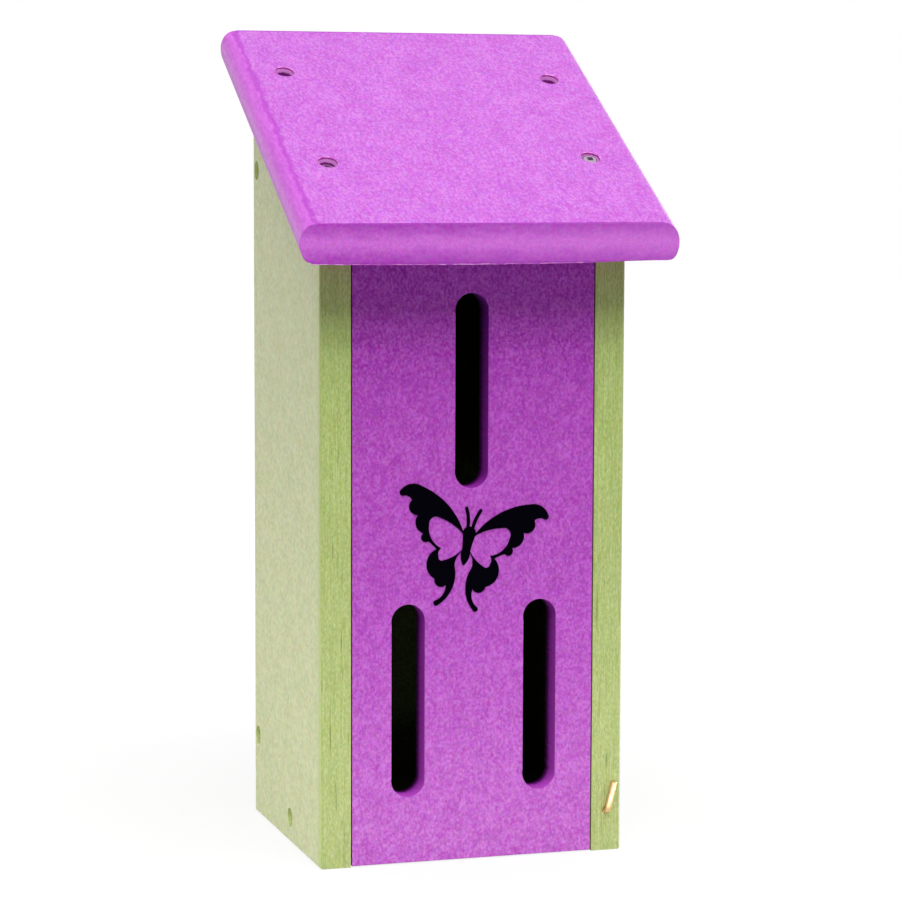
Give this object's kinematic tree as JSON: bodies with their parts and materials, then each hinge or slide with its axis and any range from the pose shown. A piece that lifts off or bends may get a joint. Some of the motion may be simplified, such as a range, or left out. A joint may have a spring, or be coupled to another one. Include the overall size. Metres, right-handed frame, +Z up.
{
  "type": "butterfly house",
  "caption": "Small butterfly house of recycled-plastic boards: slotted front door that swings out on pivot screws, sloping bullnosed roof, turning brass latch pin.",
  "frame": {"origin": "middle of the foot of the box that the whole house fills, on the surface that it stands on", "axes": "+Z up, front door facing -Y, +X to the right as seen from the front"},
  "size_m": [0.195, 0.17, 0.4213],
  "materials": {
    "green_board": "mottled recycled-plastic board, sawn edges streaked",
    "purple_roof_board": "mottled recycled-plastic board with rounded long edges and a sawn front end",
    "purple_door_board": "mottled recycled-plastic board",
    "black_figure": "flat black",
    "brass_rod": "drawn rod, bright",
    "screw_steel": "stainless, plain"
  },
  "bodies": {
    "house": {"left_side_panel": "green_board", "right_side_panel": "green_board", "back_panel": "green_board", "floor_panel": "green_board", "roof_panel": "purple_roof_board", "roof_screw_front_left": "screw_steel", "roof_screw_front_right": "screw_steel", "roof_screw_back_left": "screw_steel", "roof_screw_back_right": "screw_steel", "back_screw_lower_left": "screw_steel", "back_screw_lower_right": "screw_steel", "back_screw_upper_left": "screw_steel", "back_screw_upper_right": "screw_steel", "floor_screw_left": "screw_steel", "floor_screw_right": "screw_steel"},
    "door": {"front_door": "purple_door_board", "butterfly_figure": "black_figure", "pivot_screw_left": "screw_steel", "pivot_screw_right": "screw_steel"},
    "latch": {"latch_pin": "brass_rod"}
  },
  "joints": [
    {"name": "door_swing", "type": "hinge", "parent": "house", "child": "door", "pos_m": [0, -0.047, 0.308], "axis": [-1, 0, 0], "range_deg": [0, 70]},
    {"name": "latch_turn", "type": "hinge", "parent": "house", "child": "latch", "pos_m": [0.072, -0.055, 0.0205], "axis": [0, -1, 0], "continuous": true}
  ]
}
